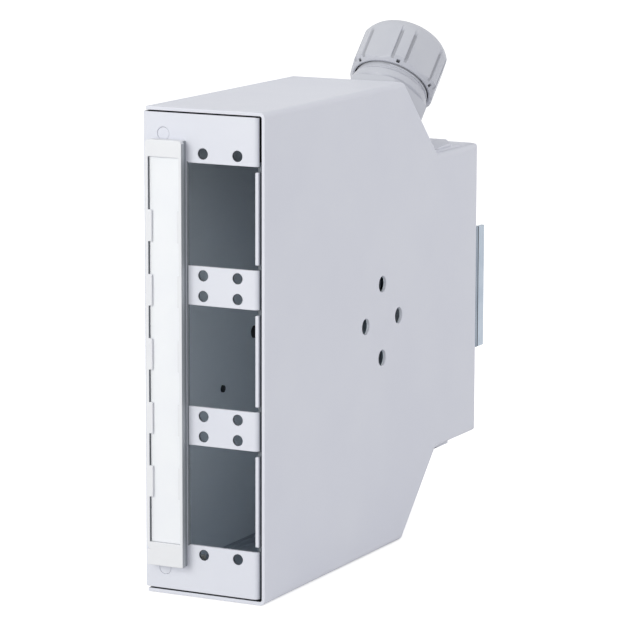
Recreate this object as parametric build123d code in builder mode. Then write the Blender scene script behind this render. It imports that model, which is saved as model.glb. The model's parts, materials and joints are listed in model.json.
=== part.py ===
import os
from math import acos, cos, degrees, radians, sin, tan

from build123d import *

os.makedirs("parts", exist_ok=True)

# A sheet-steel fibre distribution box, with its front facing -Y.
# The origin is the middle of the bottom face that the box stands on.

# Case
width = 44.7
height = 160.0
base_depth = 103.0
case_depth = 164.0
block_height = 105.0
slant_angle = 45.0
sheet = 1.2
bend_radius = 2.0
plate_gap = 0.5
flange_gap = 0.3
seam_width = 0.5
relief_radius = 0.9
tongue_length = 22.2
tongue_corner_width = 5.7
tongue_corner_length = 8.9
tongue_inset = 1.9
lip_width = 10.0
lip_length = 15.0
side_lip_depth = 82.0
rear_lip_length = 88.0
edge_lip_height = 3.0
edge_lip_start = 3.0
edge_lip_end = 2.0

# Front plate
plate_side_gap = 1.1
flange_depth = 12.0
cutout_start = 16.8
cutout_height = 33.2
cutout_pitch = 46.0
cutout_count = 3
relief_height = 1.75
fixing_edge = 7.6
fixing_spacing_x = 12.5
fixing_spacing_z = 39.3
fixing_radius = 1.8
small_hole_radius = 1.25
small_hole_depth = 51.8
small_hole_height = 58.5
large_hole_radius = 2.15
large_hole_depth = 74.5
large_hole_height = 74.5
plug_flange = 0.5
plug_rim = 0.9
plug_depth = 0.5

# Label holder
holder_start = 3.3
holder_width = 13.3
holder_proud = 3.9
holder_bottom = 10.1
holder_top = 149.8
holder_wall = 1.1
holder_skin = 1.2
holder_corner = 1.3
holder_foot = 1.9
holder_foot_step = 0.4
label_bottom = 17.8
label_top = 144.3
label_seat = 2.4
label_thickness = 0.6
label_clearance = 0.1
tab_count = 5
tab_pitch = 21.0
tab_length = 10.3
tab_thickness = 0.7
left_tab_reach = 2.3
right_tab_reach = 1.7
pad_notch = 2.4
peg_radius = 2.0
peg_inset = 4.0
peg_length = 2.0

# Flush studs in the front plate, with their fibre guides
stud_start = 7.9
stud_spacing = 142.8
stud_head_radius = 2.05
head_recess = 0.15
stud_radius = 1.5
stud_length = 8.0
guide_thickness = 1.4
guide_pad = 5.0
guide_height = 6.0
guide_loop_radius = 5.0
guide_split = 1.5
small_nut_flats = 5.5
small_nut_height = 2.4
fit_clearance = 0.05

# Rail clip and the hole pattern that takes it
pattern_diameter = 25.5
pattern_radius = 2.8
side_pattern_depth = 85.8
clip_width = 43.7
clip_height = 44.0
clip_plate = 2.0
clip_sheet = 1.5
clip_depth = 6.8
latch_gap = 0.2
rail_width = 35.0
rail_clearance = 0.3
hook_reach = 1.75
hook_lip = 1.4
hook_length = 30.0
latch_travel = 3.0
latch_tail = 8.0
window_edge = 2.0
window_length = 14.0
window_height = 6.0
lug_thickness = 1.5
lug_height = 4.2
rivet_radius = 2.0
rivet_head_radius = 3.0
rivet_head = 1.2
rivet_spacing = 32.0
rivet_offset = 8.0
rivet_play = 0.1
spring_radius = 1.9
spring_wire = 0.3
spring_turns = 6
spring_length = 8.0
clip_stud_radius = 2.5
clip_stud_head = 3.9
clip_stud_flange = 1.2
clip_stud_length = 8.0
clip_nut_flats = 8.0
clip_nut_height = 4.0

# Cable gland
gland_side_gap = 1.75
gland_offset_down = 3.4
thread_radius = 12.5
gland_bore = 8.5
thread_length = 10.5
gland_hex = 28.0
gland_hex_height = 9.5
gland_hex_turn = 4.0
gland_corner_rise = 1.9
hex_bevel = 0.8
gland_collar_radius = 14.0
gland_collar_height = 3.7
collar_step = 0.6
neck_radius = 13.1
neck_length = 9.9
finger_count = 10
finger_radius = 11.5
finger_length = 5.5
finger_slot = 1.0
seal_radius = 9.9
seal_bore = 6.5
seal_height = 11.0
seal_proud = 0.4
cap_gap = 2.8
cap_hex = 30.2
cap_hex_turn = -2.0
cap_corner_rise = 1.1
cap_ring_radius = 15.4
cap_ring_height = 0.8
cap_height = 20.8
cap_dome = 8.0
cap_mouth = 9.2
cap_groove = 0.32
cap_cavity = 13.4
cap_cone = 5.5
cap_lip = 0.8
cap_window_width = 1.2
cap_window_depth = 0.5
cap_window_height = 0.8
locknut_flats = 32.0
locknut_height = 7.0
gasket_radius = 13.4
gasket_height = 1.0

# Splice tray
tray_rear_gap = 2.0
tray_length = 62.0
tray_height = 84.0
tray_thickness = 9.5
tray_wall = 1.5
tray_corner = 12.0
tray_screw_edge = 10.0
tray_boss_radius = 4.0
tray_boss_height = 4.0
tray_entry = 12.0
tray_entry_spacing = 40.0
comb_end_gap = 10.0
comb_pitch = 4.0
comb_grooves = 6
comb_thickness = 6.0
groove_radius = 1.6
groove_depth = 1.2
lid_thickness = 1.2
lid_rim = 1.0
lid_clearance = 0.2

# Countersunk screws in the left panel, with press nuts in the lips of the shell
screw_radius = 1.5
screw_head_radius = 2.7
countersink_angle = 90.0
socket_flats = 2.0
socket_depth = 0.8
housing_screw_length = 6.0
tray_screw_length = 10.0
insert_radius = 2.1
insert_flange_radius = 3.2
insert_flange = 1.6

# Earth stud
earth_depth = 92.0
earth_offset = 8.0
earth_radius = 2.5
earth_head_radius = 3.9
earth_length = 18.0
earth_washer_radius = 5.0
earth_washer_thickness = 1.0
earth_nut_flats = 8.0
earth_nut_height = 4.0

# Places worked out from the sizes above
front = -base_depth / 2
rear = front + case_depth
left = -width / 2
right = width / 2
middle = height / 2
slant_rise = (height - block_height) / 2
slant_end = front + base_depth + slant_rise / tan(radians(slant_angle))
block_top = height - slant_rise
flange_end = left + sheet + flange_gap
panel_inner = left + sheet
flange_outer = right - sheet - plate_side_gap
fixing_x = flange_outer - fixing_edge - fixing_spacing_x / 2
cutout_heights = [middle + (row - (cutout_count - 1) / 2) * cutout_pitch for row in range(cutout_count)]


def case_outline(inset, front_y):
    """Eight-sided outline of the case in the YZ plane, moved inwards by inset."""
    corner_shift = inset * tan(radians(slant_angle / 2))
    low, high = inset, height - inset
    block_low, block_high = slant_rise + inset, block_top - inset
    base_end = front + base_depth - corner_shift
    block_start = slant_end - corner_shift
    return Polyline(
        (front_y, low), (base_end, low), (block_start, block_low), (rear - inset, block_low),
        (rear - inset, block_high), (block_start, block_high), (base_end, high), (front_y, high),
        close=True,
    )


def seam_normal(angle):
    """Normal of a seam that splits a corner of the outline, angle above +Y in degrees."""
    return (0, -sin(radians(angle)), cos(radians(angle)))


def seam_axis(angle):
    """Outward direction along a seam."""
    return (0, cos(radians(angle)), sin(radians(angle)))


half_slant = 90 - slant_angle / 2
half_corner = 90 / 2
outward_corners = [
    (front + base_depth, 0, -half_slant), (rear, slant_rise, -half_corner),
    (rear, block_top, half_corner), (front + base_depth, height, half_slant),
]
seam_end = right - bend_radius
side_screw_y = front + side_lip_depth + lip_length / 2
rear_screw_y = rear - lip_width / 2
housing_screw_places = [
    (side_screw_y, lip_width / 2), (side_screw_y, height - lip_width / 2),
    (rear_screw_y, middle - rear_lip_length / 3), (rear_screw_y, middle + rear_lip_length / 3),
]
tray_start = rear - lip_width - tray_rear_gap - tray_length
tray_middle_y = tray_start + tray_length / 2
tray_screw_spacing = tray_height - 2 * tray_screw_edge
tray_screw_places = [(tray_middle_y, middle + side * tray_screw_spacing / 2) for side in (-1, 1)]
stud_places = [(left + stud_start, middle + side * stud_spacing / 2) for side in (-1, 1)]
holder_left = left + holder_start
peg_x = holder_left + holder_width / 2
peg_places = [(peg_x, holder_bottom + peg_inset), (peg_x, holder_top - peg_inset)]
tab_heights = [middle + (row - (tab_count - 1) / 2) * tab_pitch for row in range(tab_count)]
earth_y = front + earth_depth
rear_plane = Plane(origin=(0, rear, middle), x_dir=(-1, 0, 0), z_dir=(0, 1, 0))

slant = radians(slant_angle)
slant_middle_y = front + base_depth + slant_rise / tan(slant) / 2
slant_middle_z = height - slant_rise / 2
gland_origin = (
    right - sheet - gland_side_gap - locknut_flats / 2,
    slant_middle_y + gland_offset_down * cos(slant),
    slant_middle_z - gland_offset_down * sin(slant),
)
gland_plane = Plane(origin=gland_origin, x_dir=(1, 0, 0), z_dir=(0, sin(slant), cos(slant)))
gland_profile = Plane(origin=gland_origin, x_dir=(1, 0, 0), z_dir=-gland_plane.y_dir)
gland_axis = Axis(gland_plane.origin, gland_plane.z_dir)


def screw_plane(y, z):
    """Plane of a screw head in the left panel, facing outwards."""
    return Plane(origin=(left, y, z), x_dir=(0, -1, 0), z_dir=(-1, 0, 0))


housing_screw_planes = [screw_plane(y, z) for y, z in housing_screw_places]
tray_screw_planes = [screw_plane(y, z) for y, z in tray_screw_places]


# Housing shell: the right side panel, with a flange folded all round its edge
with BuildPart() as shell_cavity:
    with BuildSketch(Plane.YZ.offset(flange_end)):
        with BuildLine():
            case_outline(sheet, front - sheet)
        make_face()
    extrude(amount=right - sheet - flange_end)
    cavity_face = shell_cavity.faces().sort_by(Axis.X)[-1]
    fillet([edge for edge in cavity_face.edges() if edge.center().Y > front], bend_radius - sheet)

with BuildPart() as housing_shell:
    with BuildSketch(Plane.YZ.offset(flange_end)):
        with BuildLine():
            case_outline(0, front)
        make_face()
    extrude(amount=right - flange_end)
    panel_face = housing_shell.faces().sort_by(Axis.X)[-1]
    fillet([edge for edge in panel_face.edges() if edge.center().Y > front + sheet], bend_radius)
    add(shell_cavity.part, mode=Mode.SUBTRACT)
    # Seams at the four outward corners, each ending in a round relief by the panel
    for corner_y, corner_z, seam_angle in outward_corners:
        seam_plane = Plane(origin=(0, corner_y, corner_z), x_dir=(1, 0, 0), z_dir=seam_normal(seam_angle))
        with BuildSketch(seam_plane):
            with Locations(((flange_end + seam_end) / 2, 0)):
                Rectangle(seam_end - flange_end, 4 * sheet)
        extrude(amount=seam_width / 2, both=True, mode=Mode.SUBTRACT)
        relief_plane = Plane(origin=(seam_end, corner_y, corner_z), x_dir=(1, 0, 0), z_dir=seam_axis(seam_angle))
        with BuildSketch(relief_plane):
            Circle(relief_radius)
        extrude(amount=2 * sheet, both=True, mode=Mode.SUBTRACT)
    # Tongues of the slanted flanges that lie on the rear block
    tongue_side = right - tongue_inset
    tongue_end = slant_end + tongue_length
    for tongue_z in (block_top, slant_rise - sheet):
        with BuildSketch(Plane.XY.offset(tongue_z)):
            with BuildLine():
                Polyline(
                    (flange_end, slant_end - sheet), (tongue_side, slant_end - sheet),
                    (tongue_side, tongue_end - tongue_corner_length),
                    (tongue_side - tongue_corner_width, tongue_end), (flange_end, tongue_end), close=True,
                )
            make_face()
        extrude(amount=sheet)
    # Lips that take the screws of the chassis
    for lip_z in (0, height - lip_width):
        with BuildSketch(Plane.YZ.offset(flange_end)):
            with Locations((front + side_lip_depth, lip_z)):
                Rectangle(lip_length, lip_width, align=Align.MIN)
        extrude(amount=sheet)
    # Low lips that close the gap along the left panel
    for lip_z in (0, height - edge_lip_height):
        with BuildSketch(Plane.YZ.offset(flange_end)):
            with Locations((front + edge_lip_start, lip_z)):
                Rectangle(base_depth - edge_lip_start - edge_lip_end, edge_lip_height, align=Align.MIN)
        extrude(amount=sheet)
    with BuildSketch(Plane.YZ.offset(flange_end)):
        with Locations((rear - lip_width, middle)):
            Rectangle(lip_width, rear_lip_length, align=(Align.MIN, Align.CENTER))
    extrude(amount=sheet)
    with BuildSketch(Plane.YZ.offset(flange_end)):
        with Locations(*housing_screw_places):
            Circle(insert_radius + fit_clearance)
    extrude(amount=sheet, mode=Mode.SUBTRACT)
    # Cable entry in the upper slanted flange
    with BuildSketch(gland_plane):
        Circle(thread_radius + fit_clearance)
    extrude(amount=-2 * sheet, mode=Mode.SUBTRACT)
    # Hole pattern of the rail clip in the side panel and again in the rear flange
    with BuildSketch(Plane(origin=(right, front + side_pattern_depth, middle), x_dir=(0, 1, 0), z_dir=(1, 0, 0))):
        with PolarLocations(pattern_diameter / 2, 4):
            Circle(pattern_radius)
    extrude(amount=-2 * sheet, mode=Mode.SUBTRACT)
    with BuildSketch(rear_plane):
        with PolarLocations(pattern_diameter / 2, 4):
            Circle(pattern_radius)
    extrude(amount=-2 * sheet, mode=Mode.SUBTRACT)
    # Hole of the earth stud in the bottom flange
    with BuildSketch():
        with Locations((earth_offset, earth_y)):
            Circle(earth_head_radius + fit_clearance)
    extrude(amount=2 * sheet, mode=Mode.SUBTRACT)

housing_shell.part.label = "housing_shell"
export_step(housing_shell.part, "parts/housing_shell.step")


# Front chassis: front plate, left side panel and right flange, folded from one sheet
with BuildPart() as front_chassis:
    with BuildSketch(Plane.XY.offset(sheet + plate_gap)):
        with BuildLine():
            bent = FilletPolyline(
                (left, rear), (left, front), (flange_outer, front), (flange_outer, front + flange_depth),
                radius=bend_radius,
            )
            inner = FilletPolyline(
                (panel_inner, rear), (panel_inner, front + sheet),
                (flange_outer - sheet, front + sheet), (flange_outer - sheet, front + flange_depth),
                radius=bend_radius - sheet,
            )
            Line(bent @ 0, inner @ 0)
            Line(bent @ 1, inner @ 1)
        make_face()
    extrude(amount=height - 2 * (sheet + plate_gap))
    with BuildSketch(Plane.YZ.offset(left)):
        with BuildLine():
            case_outline(sheet + plate_gap, front)
        make_face()
    extrude(amount=width, mode=Mode.INTERSECT)
    # Adapter cut-outs run into the bend, and relief notches free a straight tab there
    for cutout_z in cutout_heights:
        with BuildSketch(Plane.XZ.offset(-front)):
            with Locations((left + cutout_start, cutout_z)):
                Rectangle(flange_outer - left - cutout_start, cutout_height, align=(Align.MIN, Align.CENTER))
        extrude(amount=-bend_radius, mode=Mode.SUBTRACT)
        with BuildSketch(Plane.XZ.offset(-front)):
            with Locations((flange_outer - sheet, cutout_z)):
                Rectangle(sheet, cutout_height - 2 * relief_height, align=(Align.MIN, Align.CENTER))
        extrude(amount=-bend_radius)
        with BuildSketch(Plane.XZ.offset(-front)):
            with Locations((fixing_x, cutout_z)):
                with GridLocations(fixing_spacing_x, fixing_spacing_z, 2, 2):
                    Circle(fixing_radius)
        extrude(amount=-sheet, mode=Mode.SUBTRACT)
    with BuildSketch(Plane.XZ.offset(-front)):
        with Locations(*stud_places):
            Circle(stud_head_radius + 2 * fit_clearance)
        with Locations(*peg_places):
            Circle(peg_radius + fit_clearance)
    extrude(amount=-sheet, mode=Mode.SUBTRACT)
    with BuildSketch(Plane.YZ.offset(left)):
        with Locations((front + small_hole_depth, small_hole_height)):
            Circle(small_hole_radius)
        with Locations((front + large_hole_depth, large_hole_height)):
            Circle(large_hole_radius)
    extrude(amount=sheet, mode=Mode.SUBTRACT)
    with Locations(*housing_screw_planes, *tray_screw_planes):
        CounterSinkHole(
            radius=screw_radius + fit_clearance,
            counter_sink_radius=screw_head_radius + fit_clearance,
            depth=sheet,
            counter_sink_angle=countersink_angle,
        )

front_chassis.part.label = "front_chassis"
export_step(front_chassis.part, "parts/front_chassis.step")


# Plugs that close the two small holes in the left panel
plug_places = [
    (front + small_hole_depth, small_hole_height, small_hole_radius),
    (front + large_hole_depth, large_hole_height, large_hole_radius),
]

with BuildPart() as hole_plugs:
    for plug_y, plug_z, hole_radius in plug_places:
        with BuildSketch(Plane.YZ.offset(left)):
            with Locations((plug_y, plug_z)):
                Circle(hole_radius + plug_rim)
        extrude(amount=-plug_flange)
        with BuildSketch(Plane.YZ.offset(left)):
            with Locations((plug_y, plug_z)):
                Circle(hole_radius - fit_clearance)
        extrude(amount=sheet + plug_depth)

hole_plugs.part.label = "hole_plugs"
export_step(hole_plugs.part, "parts/hole_plugs.step")


# Label holder: a moulded channel with end pads, and tabs over both edges of the label
with BuildPart() as label_holder:
    with BuildSketch(Plane.XZ.offset(-front)) as holder_face:
        with Locations((holder_left, holder_bottom)):
            Rectangle(holder_width, holder_top - holder_bottom, align=Align.MIN)
        fillet(holder_face.vertices().group_by(Axis.Y)[-1], holder_corner)
    extrude(amount=holder_proud)
    with BuildSketch(Plane.XZ.offset(-front + holder_proud)):
        with Locations((holder_left + holder_wall, label_bottom)):
            Rectangle(holder_width - 2 * holder_wall, label_top - label_bottom, align=Align.MIN)
        with Locations((holder_left + holder_wall, label_bottom)):
            Triangle(a=pad_notch, b=pad_notch, C=90, rotation=-90, align=(Align.MIN, Align.MAX))
    extrude(amount=-(holder_proud - label_seat), mode=Mode.SUBTRACT)
    # Foot, stepped in along both sides
    with BuildSketch(Plane.XZ.offset(-front)):
        for side_x, side_align in ((holder_left, Align.MIN), (holder_left + holder_width, Align.MAX)):
            with Locations((side_x, holder_bottom)):
                Rectangle(holder_foot_step, holder_top - holder_bottom, align=(side_align, Align.MIN))
    extrude(amount=holder_foot, mode=Mode.SUBTRACT)
    # Hollow back
    with BuildSketch(Plane.XZ.offset(-front)):
        with Locations((holder_left + holder_wall, holder_bottom + holder_wall)):
            Rectangle(
                holder_width - 2 * holder_wall,
                holder_top - holder_bottom - 2 * holder_wall,
                align=Align.MIN,
            )
    extrude(amount=label_seat - holder_skin, mode=Mode.SUBTRACT)
    for tab_z in tab_heights:
        with BuildSketch(Plane.XZ.offset(-front + holder_proud - tab_thickness)):
            with Locations((holder_left, tab_z)):
                Rectangle(left_tab_reach, tab_length, align=(Align.MIN, Align.CENTER))
            with Locations((holder_left + holder_width, tab_z)):
                Rectangle(right_tab_reach, tab_length, align=(Align.MAX, Align.CENTER))
        extrude(amount=tab_thickness)
    # Pegs that snap into the front plate
    with BuildSketch(Plane.XZ.offset(-front + label_seat - holder_skin)):
        with Locations(*peg_places):
            Circle(peg_radius)
    extrude(amount=-(label_seat - holder_skin + peg_length))

label_holder.part.label = "label_holder"
export_step(label_holder.part, "parts/label_holder.step")


# Label strip, a card that slides in behind the tabs
with BuildPart() as label_strip:
    with BuildSketch(Plane.XZ.offset(-front + label_seat)):
        with Locations((holder_left + holder_wall + label_clearance, label_bottom + label_clearance)):
            Rectangle(
                holder_width - 2 * (holder_wall + label_clearance),
                label_top - label_bottom - 2 * label_clearance,
                align=Align.MIN,
            )
    extrude(amount=label_thickness)

label_strip.part.label = "label_strip"
export_step(label_strip.part, "parts/label_strip.step")


# Flush studs, with a faint ring round each head
with BuildPart() as front_studs:
    with BuildSketch(Plane.XZ.offset(-front - head_recess)):
        with Locations(*stud_places):
            Circle(stud_head_radius)
    extrude(amount=-(sheet - head_recess))
    with BuildSketch(Plane.XZ.offset(-front - sheet)):
        with Locations(*stud_places):
            Circle(stud_radius)
    extrude(amount=-stud_length)

front_studs.part.label = "front_studs"
export_step(front_studs.part, "parts/front_studs.step")


# Fibre guides behind the front plate, each a pad that runs into a split loop
with BuildPart() as fibre_guides:
    for stud_x, stud_z in stud_places:
        loop_x = stud_x + guide_pad + guide_loop_radius
        with BuildSketch(Plane.XY.offset(stud_z - guide_height / 2)):
            with Locations((stud_x - guide_pad, front + sheet)):
                Rectangle(2 * guide_pad + guide_loop_radius, guide_thickness, align=Align.MIN)
            with Locations((loop_x, front + sheet + guide_loop_radius)):
                Circle(guide_loop_radius)
                Circle(guide_loop_radius - guide_thickness, mode=Mode.SUBTRACT)
            with Locations((loop_x, front + sheet + 2 * guide_loop_radius)):
                Rectangle(guide_split, 2 * guide_thickness + guide_split, mode=Mode.SUBTRACT)
        extrude(amount=guide_height)
    with BuildSketch(Plane.XZ.offset(-front - sheet)):
        with Locations(*stud_places):
            Circle(stud_radius + fit_clearance)
    extrude(amount=-guide_thickness, mode=Mode.SUBTRACT)

fibre_guides.part.label = "fibre_guides"
export_step(fibre_guides.part, "parts/fibre_guides.step")


with BuildPart() as front_stud_nuts:
    with BuildSketch(Plane.XZ.offset(-front - sheet - guide_thickness)):
        with Locations(*stud_places):
            RegularPolygon(small_nut_flats / 2, 6, major_radius=False)
            Circle(stud_radius + fit_clearance, mode=Mode.SUBTRACT)
    extrude(amount=-small_nut_height)

front_stud_nuts.part.label = "front_stud_nuts"
export_step(front_stud_nuts.part, "parts/front_stud_nuts.step")


# Gland body: threaded end, hexagon, collar, threaded neck and clamping fingers
gland_corner = gland_hex / 2 + gland_corner_rise
collar_top = gland_hex_height + gland_collar_height
neck_top = collar_top + neck_length
finger_top = neck_top + finger_length
seal_bottom = finger_top + seal_proud - seal_height

with BuildPart() as gland_body:
    with BuildSketch(gland_plane):
        RegularPolygon(gland_hex / 2, 6, major_radius=False, rotation=gland_hex_turn)
    extrude(amount=gland_hex_height)
    with BuildSketch(gland_profile):
        with BuildLine():
            Polyline(
                (0, 0), (gland_hex / 2 + hex_bevel, 0), (gland_corner, hex_bevel),
                (gland_corner, gland_hex_height - hex_bevel), (gland_hex / 2 + hex_bevel, gland_hex_height),
                (0, gland_hex_height), close=True,
            )
        make_face()
    revolve(axis=gland_axis, mode=Mode.INTERSECT)
    with BuildSketch(gland_profile):
        with BuildLine():
            Polyline(
                (0, -sheet - thread_length), (thread_radius, -sheet - thread_length), (thread_radius, 0),
                (thread_radius, gland_hex_height), (gland_collar_radius - collar_step, gland_hex_height),
                (gland_collar_radius - collar_step, gland_hex_height + collar_step),
                (gland_collar_radius, gland_hex_height + 2 * collar_step),
                (gland_collar_radius, collar_top), (neck_radius, collar_top), (neck_radius, neck_top),
                (finger_radius, neck_top), (finger_radius, finger_top), (0, finger_top), close=True,
            )
        make_face()
    revolve(axis=gland_axis)
    with BuildSketch(gland_profile):
        with BuildLine():
            Polyline(
                (0, -sheet - thread_length), (gland_bore, -sheet - thread_length), (gland_bore, seal_bottom),
                (seal_radius + fit_clearance, seal_bottom), (seal_radius + fit_clearance, finger_top),
                (0, finger_top), close=True,
            )
        make_face()
    revolve(axis=gland_axis, mode=Mode.SUBTRACT)
    with BuildSketch(gland_plane.offset(neck_top)):
        with PolarLocations((seal_radius + finger_radius) / 2, finger_count):
            Rectangle(2 * (finger_radius - seal_radius) + finger_slot, finger_slot)
    extrude(amount=finger_length, mode=Mode.SUBTRACT)
    with BuildSketch(gland_plane):
        Circle(gasket_radius + fit_clearance)
        Circle(thread_radius, mode=Mode.SUBTRACT)
    extrude(amount=gasket_height, mode=Mode.SUBTRACT)

gland_body.part.label = "gland_body"
export_step(gland_body.part, "parts/gland_body.step")


with BuildPart() as gland_gasket:
    with BuildSketch(gland_plane):
        Circle(gasket_radius)
        Circle(thread_radius + fit_clearance, mode=Mode.SUBTRACT)
    extrude(amount=gasket_height)

gland_gasket.part.label = "gland_gasket"
export_step(gland_gasket.part, "parts/gland_gasket.step")


with BuildPart() as gland_seal:
    with BuildSketch(gland_plane.offset(seal_bottom)):
        Circle(seal_radius)
        Circle(seal_bore, mode=Mode.SUBTRACT)
    extrude(amount=seal_height)

gland_seal.part.label = "gland_seal"
export_step(gland_seal.part, "parts/gland_seal.step")


# Gland cap: a hexagon with rounded corner ribs between grooves, a domed end and a plain ring
cap_bottom = collar_top + cap_gap
cap_top = cap_bottom + cap_height
hex_start = cap_bottom + cap_ring_height
dome_start = cap_top - cap_dome
cone_top = cap_top - cap_lip
cone_start = cone_top - cap_cone
cap_corner_radius = cap_hex / 2 + cap_corner_rise
corner_half_angle = 30 - degrees(acos(cap_hex / 2 / cap_corner_radius))

with BuildPart() as gland_cap:
    with BuildSketch(gland_plane.offset(hex_start)):
        Circle(cap_corner_radius)
        RegularPolygon(cap_hex / 2, 6, major_radius=False, rotation=cap_hex_turn, mode=Mode.INTERSECT)
        for side in (-1, 1):
            with PolarLocations(cap_corner_radius, 6, start_angle=cap_hex_turn + side * corner_half_angle):
                Circle(cap_groove, mode=Mode.SUBTRACT)
    extrude(amount=cap_top - hex_start)
    with BuildSketch(gland_profile):
        with BuildLine():
            Polyline(
                (cap_corner_radius - cap_dome, cap_top), (0, cap_top), (0, hex_start),
                (cap_corner_radius, hex_start), (cap_corner_radius, dome_start),
            )
            RadiusArc((cap_corner_radius, dome_start), (cap_corner_radius - cap_dome, cap_top), -cap_dome)
        make_face()
    revolve(axis=gland_axis, mode=Mode.INTERSECT)
    with BuildSketch(gland_plane.offset(hex_start)):
        with PolarLocations(cap_corner_radius, 6, start_angle=cap_hex_turn):
            Rectangle(2 * cap_window_depth, cap_window_width)
    extrude(amount=cap_window_height, mode=Mode.SUBTRACT)
    with BuildSketch(gland_plane.offset(cap_bottom)):
        Circle(cap_ring_radius)
    extrude(amount=cap_ring_height)
    with BuildSketch(gland_profile):
        with BuildLine():
            Polyline(
                (0, cap_bottom), (cap_cavity, cap_bottom), (cap_cavity, cone_start),
                (cap_mouth, cone_top), (cap_mouth, cap_top), (0, cap_top), close=True,
            )
        make_face()
    revolve(axis=gland_axis, mode=Mode.SUBTRACT)

gland_cap.part.label = "gland_cap"
export_step(gland_cap.part, "parts/gland_cap.step")


with BuildPart() as gland_locknut:
    with BuildSketch(gland_plane.offset(-sheet)):
        RegularPolygon(locknut_flats / 2, 6, major_radius=False, rotation=30)
        Circle(thread_radius + fit_clearance, mode=Mode.SUBTRACT)
    extrude(amount=-locknut_height)

gland_locknut.part.label = "gland_locknut"
export_step(gland_locknut.part, "parts/gland_locknut.step")


# Rail clip plate: a fixed hook for one edge of the rail, and a lug that the spring pushes on
hook_inner = (rail_width + rail_clearance) / 2
web_y = rear + clip_plate + latch_gap
seat_y = web_y + clip_sheet
clip_back = rear + clip_depth
lip_y = clip_back - hook_lip
window_start = window_edge - latch_tail
window_middle = window_start + window_length / 2
spring_start = window_start + fit_clearance
lug_start = spring_start + spring_length + fit_clearance
lug_top = rear + clip_plate + lug_height
rivet_places = [(rivet_offset, middle + side * rivet_spacing / 2) for side in (-1, 1)]

with BuildPart() as rail_clip_plate:
    with BuildSketch(Plane.XZ.offset(-rear)):
        with Locations((0, middle)):
            Rectangle(clip_width, clip_height)
    extrude(amount=-clip_plate)
    with BuildSketch(Plane.XY.offset(middle - hook_length / 2)):
        with BuildLine():
            Polyline(
                (-hook_inner - clip_sheet, rear + clip_plate), (-hook_inner + hook_reach, rear + clip_plate),
                (-hook_inner + hook_reach, seat_y), (-hook_inner, seat_y), (-hook_inner, lip_y),
                (-hook_inner + hook_reach, lip_y), (-hook_inner + hook_reach, clip_back),
                (-hook_inner - clip_sheet, clip_back), close=True,
            )
        make_face()
    extrude(amount=hook_length)
    with BuildSketch(Plane.XZ.offset(-rear - clip_plate)):
        with Locations((lug_start, middle)):
            Rectangle(lug_thickness, 2 * spring_radius, align=(Align.MIN, Align.CENTER))
    extrude(amount=-lug_height)
    with BuildSketch(rear_plane):
        with PolarLocations(pattern_diameter / 2, 4):
            Circle(clip_stud_radius + fit_clearance)
    extrude(amount=clip_plate, mode=Mode.SUBTRACT)
    with BuildSketch(rear_plane.offset(clip_plate)):
        with PolarLocations(pattern_diameter / 2, 4):
            Circle(clip_stud_head + fit_clearance)
    extrude(amount=-clip_stud_flange, mode=Mode.SUBTRACT)
    with BuildSketch(Plane.XZ.offset(-rear)):
        with Locations(*rivet_places):
            Circle(rivet_radius + fit_clearance)
    extrude(amount=-clip_plate, mode=Mode.SUBTRACT)

rail_clip_plate.part.label = "rail_clip_plate"
export_step(rail_clip_plate.part, "parts/rail_clip_plate.step")


# Rail clip latch: slides on the plate, with a lanced hook and a folded pull wall
with BuildPart() as rail_clip_latch:
    with BuildSketch(Plane.XY.offset(middle - clip_height / 2)):
        with BuildLine():
            bent = FilletPolyline(
                (-latch_tail, web_y), (clip_width / 2, web_y), (clip_width / 2, clip_back), radius=clip_sheet,
            )
            inner = Polyline(
                (-latch_tail, seat_y), (clip_width / 2 - clip_sheet, seat_y),
                (clip_width / 2 - clip_sheet, clip_back),
            )
            Line(bent @ 0, inner @ 0)
            Line(bent @ 1, inner @ 1)
        make_face()
    extrude(amount=clip_height)
    with BuildSketch(Plane.XY.offset(middle - hook_length / 2)):
        with BuildLine():
            Polyline(
                (hook_inner + clip_sheet, seat_y), (hook_inner, seat_y), (hook_inner, lip_y),
                (hook_inner - hook_reach, lip_y), (hook_inner - hook_reach, clip_back),
                (hook_inner + clip_sheet, clip_back), close=True,
            )
        make_face()
    extrude(amount=hook_length)
    # Window for the spring, with a folded tab at its edge, and slots for the rivets
    with BuildSketch(Plane.XZ.offset(-web_y)):
        with Locations((window_middle, middle)):
            Rectangle(window_length, window_height)
        with Locations(*[(x - latch_travel / 2, z) for x, z in rivet_places]):
            SlotCenterToCenter(latch_travel, 2 * (rivet_radius + rivet_play))
    extrude(amount=-clip_sheet, mode=Mode.SUBTRACT)
    with BuildSketch(Plane.XZ.offset(-seat_y)):
        with Locations((window_start, middle)):
            Rectangle(window_edge, 2 * spring_radius, align=(Align.MAX, Align.CENTER))
    extrude(amount=seat_y - lug_top)

rail_clip_latch.part.label = "rail_clip_latch"
export_step(rail_clip_latch.part, "parts/rail_clip_latch.step")


with BuildPart() as rail_clip_spring:
    spring_y = rear + clip_plate + spring_radius + spring_wire + fit_clearance
    coil_start = spring_start + spring_wire
    with BuildLine():
        coil = Helix(
            pitch=(spring_length - 2 * spring_wire) / spring_turns,
            height=spring_length - 2 * spring_wire,
            radius=spring_radius,
            center=(coil_start, spring_y, middle),
            direction=(1, 0, 0),
        )
    with BuildSketch(Plane(origin=coil @ 0, z_dir=coil % 0)):
        Circle(spring_wire)
    sweep()

rail_clip_spring.part.label = "rail_clip_spring"
export_step(rail_clip_spring.part, "parts/rail_clip_spring.step")


# Rivets that hold the latch on the plate and run in its slots
with BuildPart() as rail_clip_rivets:
    with BuildSketch(Plane.XZ.offset(-rear)):
        with Locations(*rivet_places):
            Circle(rivet_radius)
    extrude(amount=-(seat_y + rivet_play - rear))
    with BuildSketch(Plane.XZ.offset(-seat_y - rivet_play)):
        with Locations(*rivet_places):
            Circle(rivet_head_radius)
    extrude(amount=-rivet_head)

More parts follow.
